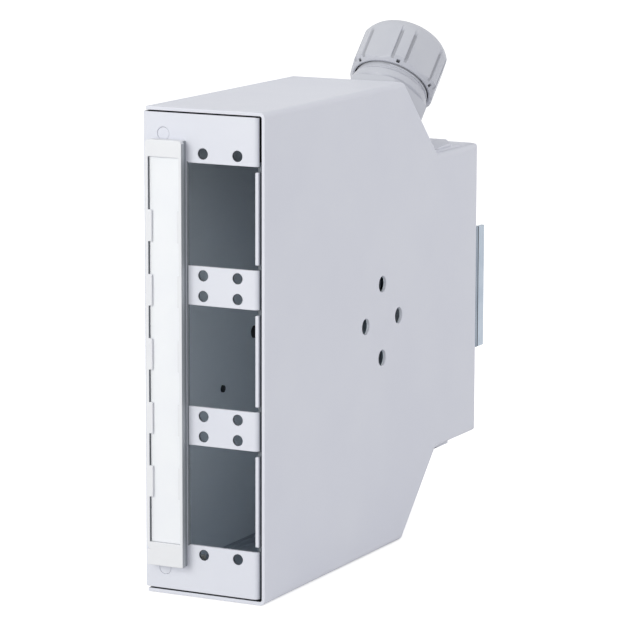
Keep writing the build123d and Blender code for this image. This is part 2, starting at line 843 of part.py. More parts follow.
rail_clip_rivets.part.label = "rail_clip_rivets"
export_step(rail_clip_rivets.part, "parts/rail_clip_rivets.step")


with BuildPart() as rail_clip_studs:
    with BuildSketch(rear_plane.offset(clip_plate)):
        with PolarLocations(pattern_diameter / 2, 4):
            Circle(clip_stud_head)
    extrude(amount=-clip_stud_flange)
    with BuildSketch(rear_plane.offset(clip_plate)):
        with PolarLocations(pattern_diameter / 2, 4):
            Circle(clip_stud_radius)
    extrude(amount=-clip_stud_length)

rail_clip_studs.part.label = "rail_clip_studs"
export_step(rail_clip_studs.part, "parts/rail_clip_studs.step")


with BuildPart() as rail_clip_nuts:
    with BuildSketch(rear_plane.offset(-sheet)):
        with PolarLocations(pattern_diameter / 2, 4):
            RegularPolygon(clip_nut_flats / 2, 6, major_radius=False)
            Circle(clip_stud_radius + fit_clearance, mode=Mode.SUBTRACT)
    extrude(amount=-clip_nut_height)

rail_clip_nuts.part.label = "rail_clip_nuts"
export_step(rail_clip_nuts.part, "parts/rail_clip_nuts.step")


# Screws that join the chassis to the shell, and the press nuts that take them
with BuildPart() as housing_screws:
    with Locations(*housing_screw_planes):
        Cone(screw_radius, screw_head_radius, sheet, align=(Align.CENTER, Align.CENTER, Align.MAX))
        Cylinder(screw_radius, housing_screw_length, align=(Align.CENTER, Align.CENTER, Align.MAX))
    with BuildSketch(*housing_screw_planes):
        RegularPolygon(socket_flats / 2, 6, major_radius=False)
    extrude(amount=-socket_depth, mode=Mode.SUBTRACT)

housing_screws.part.label = "housing_screws"
export_step(housing_screws.part, "parts/housing_screws.step")


with BuildPart() as housing_nuts:
    with BuildSketch(Plane.YZ.offset(flange_end)):
        with Locations(*housing_screw_places):
            Circle(insert_radius)
    extrude(amount=sheet)
    with BuildSketch(Plane.YZ.offset(flange_end + sheet)):
        with Locations(*housing_screw_places):
            Circle(insert_flange_radius)
    extrude(amount=insert_flange)
    with BuildSketch(Plane.YZ.offset(flange_end)):
        with Locations(*housing_screw_places):
            Circle(screw_radius + fit_clearance)
    extrude(amount=sheet + insert_flange, mode=Mode.SUBTRACT)

housing_nuts.part.label = "housing_nuts"
export_step(housing_nuts.part, "parts/housing_nuts.step")


# Splice tray on the inside of the left panel, open towards +X
tray_floor = panel_inner + tray_wall
tray_top = panel_inner + tray_thickness

with BuildPart() as splice_tray:
    with BuildSketch(Plane.YZ.offset(panel_inner)):
        with Locations((tray_middle_y, middle)):
            RectangleRounded(tray_length, tray_height, tray_corner)
    extrude(amount=tray_thickness)
    with BuildSketch(Plane.YZ.offset(tray_floor)):
        with Locations((tray_middle_y, middle)):
            RectangleRounded(tray_length - 2 * tray_wall, tray_height - 2 * tray_wall, tray_corner - tray_wall)
    extrude(amount=tray_thickness - tray_wall, mode=Mode.SUBTRACT)
    with BuildSketch(Plane.YZ.offset(tray_floor)):
        with Locations((tray_start, middle)):
            with GridLocations(1, tray_entry_spacing, 1, 2):
                Rectangle(4 * tray_wall, tray_entry)
    extrude(amount=tray_thickness - tray_wall, mode=Mode.SUBTRACT)
    with BuildSketch(Plane.YZ.offset(tray_floor)):
        with Locations(*tray_screw_places):
            Circle(tray_boss_radius)
    extrude(amount=tray_boss_height)
    with BuildSketch(Plane.YZ.offset(panel_inner)):
        with Locations(*tray_screw_places):
            Circle(screw_radius + fit_clearance)
    extrude(amount=tray_thickness, mode=Mode.SUBTRACT)

splice_tray.part.label = "splice_tray"
export_step(splice_tray.part, "parts/splice_tray.step")


comb_length = tray_screw_spacing - 2 * comb_end_gap

with BuildPart() as splice_comb:
    with BuildSketch(Plane.XY.offset(middle - comb_length / 2)):
        with Locations((tray_floor, tray_middle_y)):
            Rectangle(comb_thickness, comb_pitch * comb_grooves, align=(Align.MIN, Align.CENTER))
        with Locations((tray_floor + comb_thickness - groove_depth, tray_middle_y)):
            with GridLocations(1, comb_pitch, 1, comb_grooves):
                Circle(groove_radius, mode=Mode.SUBTRACT)
    extrude(amount=comb_length)

splice_comb.part.label = "splice_comb"
export_step(splice_comb.part, "parts/splice_comb.step")


with BuildPart() as splice_tray_lid:
    with BuildSketch(Plane.YZ.offset(tray_top)):
        with Locations((tray_middle_y, middle)):
            RectangleRounded(tray_length, tray_height, tray_corner)
    extrude(amount=lid_thickness)
    with BuildSketch(Plane.YZ.offset(tray_top)):
        rim_gap = tray_wall + lid_clearance
        with Locations((tray_middle_y, middle)):
            RectangleRounded(tray_length - 2 * rim_gap, tray_height - 2 * rim_gap, tray_corner - rim_gap)
            rim_gap += tray_wall
            RectangleRounded(
                tray_length - 2 * rim_gap, tray_height - 2 * rim_gap, tray_corner - rim_gap, mode=Mode.SUBTRACT,
            )
    extrude(amount=-lid_rim)

splice_tray_lid.part.label = "splice_tray_lid"
export_step(splice_tray_lid.part, "parts/splice_tray_lid.step")


with BuildPart() as splice_tray_screws:
    with Locations(*tray_screw_planes):
        Cone(screw_radius, screw_head_radius, sheet, align=(Align.CENTER, Align.CENTER, Align.MAX))
        Cylinder(screw_radius, tray_screw_length, align=(Align.CENTER, Align.CENTER, Align.MAX))
    with BuildSketch(*tray_screw_planes):
        RegularPolygon(socket_flats / 2, 6, major_radius=False)
    extrude(amount=-socket_depth, mode=Mode.SUBTRACT)

splice_tray_screws.part.label = "splice_tray_screws"
export_step(splice_tray_screws.part, "parts/splice_tray_screws.step")


with BuildPart() as splice_tray_nuts:
    with BuildSketch(Plane.YZ.offset(tray_floor + tray_boss_height)):
        with Locations(*tray_screw_places):
            RegularPolygon(small_nut_flats / 2, 6, major_radius=False)
            Circle(screw_radius + fit_clearance, mode=Mode.SUBTRACT)
    extrude(amount=small_nut_height)

splice_tray_nuts.part.label = "splice_tray_nuts"
export_step(splice_tray_nuts.part, "parts/splice_tray_nuts.step")


# Earth stud in the bottom flange, with a washer under each nut
washer_pitch = earth_washer_thickness + earth_nut_height

with BuildPart() as earth_stud:
    with BuildSketch():
        with Locations((earth_offset, earth_y)):
            Circle(earth_head_radius)
    extrude(amount=sheet)
    with BuildSketch():
        with Locations((earth_offset, earth_y)):
            Circle(earth_radius)
    extrude(amount=earth_length)

earth_stud.part.label = "earth_stud"
export_step(earth_stud.part, "parts/earth_stud.step")


with BuildPart() as earth_washers:
    for row in range(2):
        with BuildSketch(Plane.XY.offset(sheet + row * washer_pitch)):
            with Locations((earth_offset, earth_y)):
                Circle(earth_washer_radius)
                Circle(earth_radius + fit_clearance, mode=Mode.SUBTRACT)
        extrude(amount=earth_washer_thickness)

earth_washers.part.label = "earth_washers"
export_step(earth_washers.part, "parts/earth_washers.step")


with BuildPart() as earth_nuts:
    for row in range(2):
        with BuildSketch(Plane.XY.offset(sheet + row * washer_pitch + earth_washer_thickness)):
            with Locations((earth_offset, earth_y)):
                RegularPolygon(earth_nut_flats / 2, 6, major_radius=False)
                Circle(earth_radius + fit_clearance, mode=Mode.SUBTRACT)
        extrude(amount=earth_nut_height)

earth_nuts.part.label = "earth_nuts"
export_step(earth_nuts.part, "parts/earth_nuts.step")
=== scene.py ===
import json
import math

import bmesh
import bpy
from mathutils import Matrix, Vector
from mathutils.bvhtree import BVHTree


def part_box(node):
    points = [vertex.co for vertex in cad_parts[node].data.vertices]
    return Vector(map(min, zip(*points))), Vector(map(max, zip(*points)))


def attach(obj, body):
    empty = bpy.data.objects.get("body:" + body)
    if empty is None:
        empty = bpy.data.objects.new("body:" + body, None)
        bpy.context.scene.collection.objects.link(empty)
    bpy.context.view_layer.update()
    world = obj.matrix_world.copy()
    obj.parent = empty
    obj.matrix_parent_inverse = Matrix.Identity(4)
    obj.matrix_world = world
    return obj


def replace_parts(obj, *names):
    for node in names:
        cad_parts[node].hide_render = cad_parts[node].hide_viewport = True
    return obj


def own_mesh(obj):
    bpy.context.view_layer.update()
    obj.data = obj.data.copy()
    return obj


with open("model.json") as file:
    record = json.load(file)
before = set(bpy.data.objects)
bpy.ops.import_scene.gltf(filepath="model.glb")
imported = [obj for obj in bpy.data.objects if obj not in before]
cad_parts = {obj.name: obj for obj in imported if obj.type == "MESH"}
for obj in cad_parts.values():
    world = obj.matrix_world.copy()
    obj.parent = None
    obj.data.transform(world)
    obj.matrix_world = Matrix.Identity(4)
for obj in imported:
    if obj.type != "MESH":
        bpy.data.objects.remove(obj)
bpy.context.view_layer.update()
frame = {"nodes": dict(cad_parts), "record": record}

nodes = frame["nodes"]
print("frame loaded:", len(nodes), "CAD pieces")


# ---- camera, as it stood for the picture ----
cameraSpot = {
    "place": (0.52735, -1.00817, 0.28603),
    "yaw": 27.001,      # degrees to the left of straight on
    "pitch": 9.972,     # degrees downwards
    "roll": -0.142,
    "lens": 198.08,     # mm on a 36 mm sensor
}


def makeCamera(spot):
    yaw, pitch, roll = (math.radians(spot[k]) for k in ("yaw", "pitch", "roll"))
    forward = Vector((-math.sin(yaw) * math.cos(pitch), math.cos(yaw) * math.cos(pitch), -math.sin(pitch)))
    right = forward.cross(Vector((0, 0, 1))).normalized()
    down = forward.cross(right)
    turnedRight = right * math.cos(roll) + down * math.sin(roll)
    turnedDown = down * math.cos(roll) - right * math.sin(roll)
    turn = Matrix((turnedRight, -turnedDown, -forward)).transposed()
    data = bpy.data.cameras.new("studioCamera")
    data.lens = spot["lens"]
    data.sensor_width = 36.0
    data.clip_start, data.clip_end = 0.05, 30.0
    camera = bpy.data.objects.new("studioCamera", data)
    bpy.context.scene.collection.objects.link(camera)
    camera.matrix_world = Matrix.Translation(spot["place"]) @ turn.to_4x4()
    bpy.context.scene.camera = camera
    return camera


makeCamera(cameraSpot)
bpy.context.scene.view_settings.view_transform = "Standard"
print("camera in place")


# ---- shader helpers ----
def linear(*rgb255):
    return tuple((c / 255 / 12.92) if c <= 10 else (((c / 255) + 0.055) / 1.055) ** 2.4 for c in rgb255) + (1.0,)


def newGroup(name, inputs, outputs):
    tree = bpy.data.node_groups.new(name, "ShaderNodeTree")
    for label, kind, value in inputs:
        socket = tree.interface.new_socket(name=label, in_out="INPUT", socket_type=kind)
        socket.default_value = value
    for label, kind in outputs:
        tree.interface.new_socket(name=label, in_out="OUTPUT", socket_type=kind)
    return tree, tree.nodes.new("NodeGroupInput"), tree.nodes.new("NodeGroupOutput")


def addNoise(tree, vector, scale, detail, roughness=0.5):
    noise = tree.nodes.new("ShaderNodeTexNoise")
    noise.inputs["Detail"].default_value = detail
    noise.inputs["Roughness"].default_value = roughness
    if isinstance(scale, float):
        noise.inputs["Scale"].default_value = scale
    else:
        tree.links.new(scale, noise.inputs["Scale"])
    tree.links.new(vector, noise.inputs["Vector"])
    return noise


def addRange(tree, value, fromLow, fromHigh, toLow, toHigh):
    spread = tree.nodes.new("ShaderNodeMapRange")
    limits = (("From Min", fromLow), ("From Max", fromHigh), ("To Min", toLow), ("To Max", toHigh))
    for label, number in limits:
        if isinstance(number, (int, float)):
            spread.inputs[label].default_value = number
        else:
            tree.links.new(number, spread.inputs[label])
    tree.links.new(value, spread.inputs["Value"])
    return spread.outputs["Result"]


def addMix(tree, mask, first, second):
    mix = tree.nodes.new("ShaderNodeMix")
    mix.data_type = "RGBA"
    for socket, value in ((mix.inputs[0], mask), (mix.inputs[6], first), (mix.inputs[7], second)):
        if isinstance(value, (int, float, tuple)):
            socket.default_value = value
        else:
            tree.links.new(value, socket)
    return mix.outputs[2]


def addOperation(tree, kind, operation, values):
    node = tree.nodes.new(kind)
    node.operation = operation
    for socket, value in zip(node.inputs, values):
        if isinstance(value, (int, float, tuple)):
            socket.default_value = value
        else:
            tree.links.new(value, socket)
    return node.outputs[0]


def addMath(tree, operation, first, second):
    return addOperation(tree, "ShaderNodeMath", operation, (first, second))


def addVector(tree, operation, first, second):
    return addOperation(tree, "ShaderNodeVectorMath", operation, (first, second))


def buildSurfaceGroup():
    tree, start, end = newGroup(
        "mouldedSurface",
        [("Vector", "NodeSocketVector", (0, 0, 0)), ("Tone", "NodeSocketColor", (0.8, 0.8, 0.8, 1)),
         ("Shade", "NodeSocketColor", (0.7, 0.7, 0.7, 1)), ("Patch Scale", "NodeSocketFloat", 30.0),
         ("Grain Scale", "NodeSocketFloat", 1500.0), ("Rough Low", "NodeSocketFloat", 0.4),
         ("Rough High", "NodeSocketFloat", 0.5)],
        [("Color", "NodeSocketColor"), ("Roughness", "NodeSocketFloat"), ("Height", "NodeSocketFloat")],
    )
    patches = addNoise(tree, start.outputs["Vector"], start.outputs["Patch Scale"], 3.0)
    grain = addNoise(tree, start.outputs["Vector"], start.outputs["Grain Scale"], 4.0, 0.6)
    patchMask = addRange(tree, patches.outputs["Fac"], 0.35, 0.65, 0.0, 1.0)
    tree.links.new(addMix(tree, patchMask, start.outputs["Tone"], start.outputs["Shade"]), end.inputs["Color"])
    rough = addRange(tree, grain.outputs["Fac"], 0.3, 0.7, start.outputs["Rough Low"], start.outputs["Rough High"])
    tree.links.new(rough, end.inputs["Roughness"])
    tree.links.new(grain.outputs["Fac"], end.inputs["Height"])
    return tree


def buildBrushedGroup():
    tree, start, end = newGroup(
        "brushedLines",
        [("Vector", "NodeSocketVector", (0, 0, 0)), ("Stretch", "NodeSocketVector", (1, 1, 0.05)),
         ("Line Scale", "NodeSocketFloat", 2500.0), ("Tone", "NodeSocketColor", (0.7, 0.7, 0.7, 1)),
         ("Shade", "NodeSocketColor", (0.5, 0.5, 0.5, 1)), ("Rough Low", "NodeSocketFloat", 0.25),
         ("Rough High", "NodeSocketFloat", 0.4)],
        [("Color", "NodeSocketColor"), ("Roughness", "NodeSocketFloat"), ("Height", "NodeSocketFloat")],
    )
    stretched = addVector(tree, "MULTIPLY", start.outputs["Vector"], start.outputs["Stretch"])
    lines = addNoise(tree, stretched, start.outputs["Line Scale"], 3.0, 0.6)
    clouds = addNoise(tree, start.outputs["Vector"], 120.0, 3.0)
    cloudMask = addRange(tree, clouds.outputs["Fac"], 0.35, 0.65, 0.0, 1.0)
    tree.links.new(addMix(tree, cloudMask, start.outputs["Tone"], start.outputs["Shade"]), end.inputs["Color"])
    rough = addRange(tree, lines.outputs["Fac"], 0.3, 0.7, start.outputs["Rough Low"], start.outputs["Rough High"])
    tree.links.new(rough, end.inputs["Roughness"])
    tree.links.new(lines.outputs["Fac"], end.inputs["Height"])
    return tree


# painted shade: mixes a darker tone into the base colour inside a box in object coordinates, with feathered sides
def buildBoxShadeGroup():
    tree, start, end = newGroup(
        "boxShade",
        [("Vector", "NodeSocketVector", (0, 0, 0)), ("Base", "NodeSocketColor", (0.8, 0.8, 0.8, 1)),
         ("Tone", "NodeSocketColor", (0.2, 0.2, 0.2, 1)), ("Low", "NodeSocketVector", (0, 0, 0)),
         ("High", "NodeSocketVector", (1, 1, 1)), ("Feather", "NodeSocketVector", (0.00003, 0.00003, 0.00003))],
        [("Color", "NodeSocketColor")],
    )
    place, feather = start.outputs["Vector"], start.outputs["Feather"]
    sides = []
    for first, second in ((place, start.outputs["Low"]), (start.outputs["High"], place)):
        depth = addVector(tree, "DIVIDE", addVector(tree, "SUBTRACT", first, second), feather)
        sides.append(addVector(tree, "MINIMUM", addVector(tree, "MAXIMUM", depth, (0, 0, 0)), (1, 1, 1)))
    parts = tree.nodes.new("ShaderNodeSeparateXYZ")
    tree.links.new(addVector(tree, "MULTIPLY", *sides), parts.inputs[0])
    mask = addMath(tree, "MULTIPLY", addMath(tree, "MULTIPLY", parts.outputs[0], parts.outputs[1]), parts.outputs[2])
    tree.links.new(addMix(tree, mask, start.outputs["Base"], start.outputs["Tone"]), end.inputs["Color"])
    return tree


# painted light: mixes a lighter tone into the base colour on the faces inside the case's octagonal outline
def buildInsideGroup():
    tree, start, end = newGroup(
        "caseInsidePaintedLight",
        [("Vector", "NodeSocketVector", (0, 0, 0)), ("Base", "NodeSocketColor", (0.8, 0.8, 0.8, 1)),
         ("Tone", "NodeSocketColor", (0.2, 0.2, 0.2, 1)), ("Side", "NodeSocketFloat", 0.02),
         ("Front", "NodeSocketFloat", -0.05), ("Back", "NodeSocketFloat", 0.1), ("Low", "NodeSocketFloat", 0.001),
         ("High", "NodeSocketFloat", 0.1), ("Block Low", "NodeSocketFloat", 0.03),
         ("Block High", "NodeSocketFloat", 0.1), ("Slant Low", "NodeSocketFloat", 0.0),
         ("Slant High", "NodeSocketFloat", 0.2)],
        [("Color", "NodeSocketColor")],
    )
    parts = tree.nodes.new("ShaderNodeSeparateXYZ")
    tree.links.new(start.outputs["Vector"], parts.inputs[0])
    x, y, z = parts.outputs
    rising, falling = addMath(tree, "ADD", y, z), addMath(tree, "SUBTRACT", z, y)
    top = addMath(
        tree, "MAXIMUM", addMath(tree, "LESS_THAN", rising, start.outputs["Slant High"]),
        addMath(tree, "LESS_THAN", z, start.outputs["Block High"]))
    bottom = addMath(
        tree, "MAXIMUM", addMath(tree, "GREATER_THAN", falling, start.outputs["Slant Low"]),
        addMath(tree, "GREATER_THAN", z, start.outputs["Block Low"]))
    mask = addMath(tree, "MULTIPLY", top, bottom)
    for operation, value, limit in (
            ("LESS_THAN", addMath(tree, "ABSOLUTE", x, 0.0), "Side"), ("GREATER_THAN", y, "Front"),
            ("LESS_THAN", y, "Back"), ("GREATER_THAN", z, "Low"), ("LESS_THAN", z, "High")):
        mask = addMath(tree, "MULTIPLY", mask, addMath(tree, operation, value, start.outputs[limit]))
    tree.links.new(addMix(tree, mask, start.outputs["Base"], start.outputs["Tone"]), end.inputs["Color"])
    return tree


surfaceGroup = buildSurfaceGroup()
brushedGroup = buildBrushedGroup()
boxShadeGroup = buildBoxShadeGroup()
paintedLightInsideGroup = buildInsideGroup()


def startMaterial(name, group, look):
    material = bpy.data.materials.new(name)
    material.use_nodes = True
    tree = material.node_tree
    shader = next(n for n in tree.nodes if n.type == "BSDF_PRINCIPLED")
    place = tree.nodes.new("ShaderNodeTexCoord")
    effect = tree.nodes.new("ShaderNodeGroup")
    effect.node_tree = group
    tree.links.new(place.outputs["Object"], effect.inputs["Vector"])
    for label, value in look["surface"].items():
        effect.inputs[label].default_value = value
    for label, value in look.get("shader", {}).items():
        shader.inputs[label].default_value = value
    tree.links.new(effect.outputs["Color"], shader.inputs["Base Color"])
    tree.links.new(effect.outputs["Roughness"], shader.inputs["Roughness"])
    bump = tree.nodes.new("ShaderNodeBump")
    bump.inputs["Strength"].default_value = look["bump"]
    bump.inputs["Distance"].default_value = look["bumpDepth"]
    tree.links.new(effect.outputs["Height"], bump.inputs["Height"])
    tree.links.new(bump.outputs["Normal"], shader.inputs["Normal"])
    for shade in look.get("paintedShades", []):
        addShade(tree, shader, place, boxShadeGroup, shade)
    # painted shade: pieces give points an amount, and the material mixes its dark tone in by that amount
    if "deep" in look:      # faces that a piece marks as lying in deep shade
        mark = tree.nodes.new("ShaderNodeAttribute")
        mark.attribute_name = "deepShade"
        socket = shader.inputs["Base Color"]
        tree.links.new(addMix(tree, mark.outputs["Fac"], socket.links[0].from_socket, look["deep"]), socket)
    return material, tree, shader, place


def addShade(tree, shader, place, group, values):
    shade = tree.nodes.new("ShaderNodeGroup")
    shade.node_tree = group
    socket = shader.inputs["Base Color"]
    tree.links.new(socket.links[0].from_socket, shade.inputs["Base"])
    tree.links.new(place.outputs["Object"], shade.inputs["Vector"])
    for label, value in values.items():
        shade.inputs[label].default_value = value
    tree.links.new(shade.outputs["Color"], socket)


# ---- powder coat of the case: light grey outside; the inside lies in shade and gets a lighter painted-light tone, and the gaps, cut edges and hole walls get painted shade ----
caseLook = {
    "surface": {
        "Tone": linear(218, 220, 230), "Shade": linear(215, 217, 228), "Patch Scale": 25.0,
        "Grain Scale": 1400.0, "Rough Low": 0.46, "Rough High": 0.58,
    },
    "shader": {"Specular IOR Level": 0.4},
    "bump": 0.12, "bumpDepth": 0.0002,
    # painted light: the inner faces get a lighter, bluer tone than the outer paint, which lifts the shaded interior
    "inside": {     # the inner faces, kept off the outer ones by half a sheet
        "Tone": linear(238, 246, 255), "Side": 0.0216, "Front": -0.0504, "Back": 0.1118, "Low": 0.0007,
        "High": 0.1593, "Block Low": 0.0282, "Block High": 0.1318, "Slant Low": -0.0507, "Slant High": 0.2107,
    },
    # painted shade: darker tones on the inner band behind the front plate, the inner floor, the top and bottom gaps,
    # the plate's top edge and the windows' left cut faces
    "gaps": [       # deep shade behind the narrow gaps round the front plate, and at three cut edges
        {"Tone": linear(110, 116, 124), "Low": (-0.0216, -0.0504, 0.0007), "High": (0.0216, -0.0440, 0.1593)},
        {"Tone": linear(192, 201, 213), "Low": (-0.0216, -0.0440, 0.0007), "High": (0.0216, 0.1118, 0.0035)},
        {"Tone": linear(12, 13, 15), "Low": (-0.0216, -0.0504, 0.1440), "High": (0.0216, 0.0500, 0.1593)},
        {"Tone": linear(24, 26, 30), "Low": (-0.0216, -0.0512, 0.0007), "High": (0.0216, -0.0400, 0.0018)},
        {"Tone": linear(24, 26, 30), "Low": (-0.0205, -0.0512, 0.1582), "High": (0.0205, -0.0500, 0.1589)},
        {"Tone": linear(128, 134, 141), "Low": (-0.0059, -0.0520, 0.0170), "High": (-0.00535, -0.0500, 0.1430)},
    ],
    # painted shade: a dark tone on the walls of the small holes in the front plate, in four rows
    "holes": {"Tone": linear(70, 75, 82), "x": (-0.0021, 0.0145), "y": (-0.0513, -0.0505),
              "rows": ((0.0124, 0.0163), (0.0517, 0.0623), (0.0977, 0.1083), (0.1437, 0.1476))},
}


def makeCasePaint(look):
    material, tree, shader, place = startMaterial("casePaint", surfaceGroup, look)
    addShade(tree, shader, place, paintedLightInsideGroup, look["inside"])
    for gap in look["gaps"]:
        addShade(tree, shader, place, boxShadeGroup, gap)
    holes = look["holes"]
    for low, high in holes["rows"]:
        addShade(tree, shader, place, boxShadeGroup, {
            "Tone": holes["Tone"], "Low": (holes["x"][0], holes["y"][0], low),
            "High": (holes["x"][1], holes["y"][1], high)})
    return material


casePaint = makeCasePaint(caseLook)

plasticLooks = {
    "holderPlastic": {
        "surface": {"Tone": linear(226, 227, 232), "Shade": linear(223, 224, 230), "Patch Scale": 60.0,
                    "Grain Scale": 2600.0, "Rough Low": 0.36, "Rough High": 0.46},
        "shader": {"Specular IOR Level": 0.45}, "bump": 0.06, "bumpDepth": 0.0001,
        "paintedShades": [
            # painted shade: darker tones on the holder's right wall, deeper at its foot next to the plate, and on the
            # inner face of the left wall beside the label
            {"Tone": linear(168, 172, 178), "Low": (-0.00582, -0.0600, 0), "High": (0, 0, 0.2)},    # right wall
            {"Tone": linear(138, 144, 151), "Low": (-0.0063, -0.05345, 0), "High": (0, 0, 0.2)},    # its foot
            {"Tone": linear(96, 100, 106), "Low": (-0.01805, -0.0553, 0.0178), "High": (-0.01785, 0, 0.1443)},
        ],
    },
    "labelCard": {
        "surface": {"Tone": linear(235, 237, 242), "Shade": linear(233, 235, 241), "Patch Scale": 90.0,
                    "Grain Scale": 3500.0, "Rough Low": 0.5, "Rough High": 0.65},
        "shader": {"Specular IOR Level": 0.3}, "bump": 0.08, "bumpDepth": 0.0001,
    },
    "glandPlastic": {
        "surface": {"Tone": linear(194, 196, 205), "Shade": linear(191, 193, 203), "Patch Scale": 80.0,
                    "Grain Scale": 2200.0, "Rough Low": 0.34, "Rough High": 0.48},
        "shader": {"Specular IOR Level": 0.5}, "bump": 0.1, "bumpDepth": 0.0001,
        # painted shade tone for the cap's pockets, grooves and cavity
        "deep": linear(14, 15, 17),
    },
    "sealRubber": {
        "surface": {"Tone": linear(34, 34, 36), "Shade": linear(28, 28, 30), "Patch Scale": 80.0,
                    "Grain Scale": 1800.0, "Rough Low": 0.6, "Rough High": 0.8},
        "bump": 0.2, "bumpDepth": 0.0001,
    },
    "trayPlastic": {
        "surface": {"Tone": linear(205, 206, 204), "Shade": linear(200, 201, 199), "Patch Scale": 60.0,
                    "Grain Scale": 2200.0, "Rough Low": 0.4, "Rough High": 0.52},
        "bump": 0.08, "bumpDepth": 0.0001,
    },
    "combPlastic": {
        "surface": {"Tone": linear(62, 64, 68), "Shade": linear(55, 57, 62), "Patch Scale": 60.0,
                    "Grain Scale": 2200.0, "Rough Low": 0.45, "Rough High": 0.6},
        "bump": 0.12, "bumpDepth": 0.0001,
    },
    "plugPlastic": {
        "surface": {"Tone": linear(48, 52, 58), "Shade": linear(42, 46, 52), "Patch Scale": 90.0,
                    "Grain Scale": 2400.0, "Rough Low": 0.5, "Rough High": 0.65},
        "bump": 0.1, "bumpDepth": 0.0001,
    },
    "lidPlastic": {
        "surface": {"Tone": linear(196, 202, 208), "Shade": linear(190, 197, 204), "Patch Scale": 40.0,
                    "Grain Scale": 1500.0, "Rough Low": 0.12, "Rough High": 0.2},
        "shader": {"Specular IOR Level": 0.5}, "bump": 0.03, "bumpDepth": 0.0001,
    },
}
metalLooks = {
    "zincSteel": {
        "surface": {"Tone": linear(172, 182, 193), "Shade": linear(160, 171, 184), "Stretch": (1, 1, 0.04),
                    "Line Scale": 2600.0, "Rough Low": 0.3, "Rough High": 0.45},
        "shader": {"Metallic": 1.0}, "bump": 0.1, "bumpDepth": 0.0001,
    },
    "zincPlate": {
        "surface": {"Tone": linear(142, 152, 164), "Shade": linear(132, 142, 155), "Stretch": (1, 1, 0.04),
                    "Line Scale": 2600.0, "Rough Low": 0.34, "Rough High": 0.5},
        "shader": {"Metallic": 1.0}, "bump": 0.1, "bumpDepth": 0.0001,
        "paintedShades": [     # the gap beside the latch
            # painted shade: a near-black tone in the gap between the plate and the latch
            {"Tone": linear(26, 31, 42), "Low": (0.0205, 0.1137, 0.0550), "High": (0.0225, 0.1148, 0.1050)},
        ],
    },
    "springSteel": {
        "surface": {"Tone": linear(176, 178, 182), "Shade": linear(158, 160, 166), "Stretch": (0.3, 1, 1),
                    "Line Scale": 2600.0, "Rough Low": 0.22, "Rough High": 0.34},
        "shader": {"Metallic": 1.0}, "bump": 0.05, "bumpDepth": 0.0001,
    },
    "earthBrass": {
        "surface": {"Tone": linear(214, 186, 122), "Shade": linear(196, 166, 104), "Stretch": (1, 1, 0.2),
                    "Line Scale": 2200.0, "Rough Low": 0.25, "Rough High": 0.4},
        "shader": {"Metallic": 1.0}, "bump": 0.06, "bumpDepth": 0.0001,
    },
}
materials = {"casePaint": casePaint}
for name, look in plasticLooks.items():
    materials[name] = startMaterial(name, surfaceGroup, look)[0]
for name, look in metalLooks.items():
    materials[name] = startMaterial(name, brushedGroup, look)[0]
print("materials made:", len(materials))

nodeMaterials = {
    "casePaint": ["housing_shell", "front_chassis", "front_studs"],
    "holderPlastic": ["label_holder"],
    "labelCard": ["label_strip"],
    "glandPlastic": ["gland_body", "gland_cap", "gland_locknut"],
    "sealRubber": ["gland_seal", "gland_gasket"],
    "zincSteel": ["rail_clip_latch", "rail_clip_rivets", "rail_clip_nuts", "front_stud_nuts", "housing_screws",
                  "housing_nuts", "splice_tray_screws", "splice_tray_nuts"],
    "zincPlate": ["rail_clip_plate", "rail_clip_studs"],
    "plugPlastic": ["hole_plugs"],
    "springSteel": ["rail_clip_spring"],
    "earthBrass": ["earth_stud", "earth_washers", "earth_nuts"],
    "trayPlastic": ["splice_tray", "fibre_guides"],
    "combPlastic": ["splice_comb"],
    "lidPlastic": ["splice_tray_lid"],
}
for name, members in nodeMaterials.items():
    for member in members:
        for slot in nodes[member].material_slots:
            slot.material = materials[name]
print("CAD pieces dressed")


# ---- pieces with softened edges, which stand for their CAD solids ----
bodyOf = {node: body for body, members in frame["record"]["behaviour"]["bodies"].items() for node in members}
softEdges = {
    # new name, CAD node, edge width in metres, segments
    "shellPanel": ("housing_shell", 0.00020, 2),
    "chassisPanel": ("front_chassis", 0.00020, 2),
    "labelHolder": ("label_holder", 0.00022, 2),
    "labelStrip": ("label_strip", 0.00004, 1),
    "glandBody": ("gland_body", 0.00022, 2),
    "glandLocknut": ("gland_locknut", 0.00030, 2),
    "clipPlate": ("rail_clip_plate", 0.00020, 2),
    "clipLatch": ("rail_clip_latch", 0.00022, 2),
    "spliceTray": ("splice_tray", 0.00025, 2),
    "spliceLid": ("splice_tray_lid", 0.00025, 2),
    "spliceComb": ("splice_comb", 0.00020, 2),
    "fibreGuides": ("fibre_guides", 0.00025, 2),
}
softAngles = {"flat": math.radians(0.6), "bevel": math.radians(35)}
tongueLift = {      # the upper tongue stands proud of the rear block: it rises from start to end along Y
    "rise": 0.0009, "bend": 0.0785, "start": 0.0800, "end": 0.0825, "tip": 0.1020, "low": 0.1323, "high": 0.1340,
}
weldGap = 0.000002


def materialOf(node):
    return nodes[node].material_slots[0].material


def finishPiece(name, mesh, node, material):
    mesh.name = name
    mesh.materials.clear()
    mesh.materials.append(material)
    piece = bpy.data.objects.new(name, mesh)
    bpy.context.scene.collection.objects.link(piece)
    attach(piece, bodyOf[node])
    return piece


def mergedMesh(node):
    mesh = nodes[node].data.copy()
    sheet = bmesh.new()
    sheet.from_mesh(mesh)
    bmesh.ops.remove_doubles(sheet, verts=sheet.verts, dist=weldGap)
    return mesh, sheet


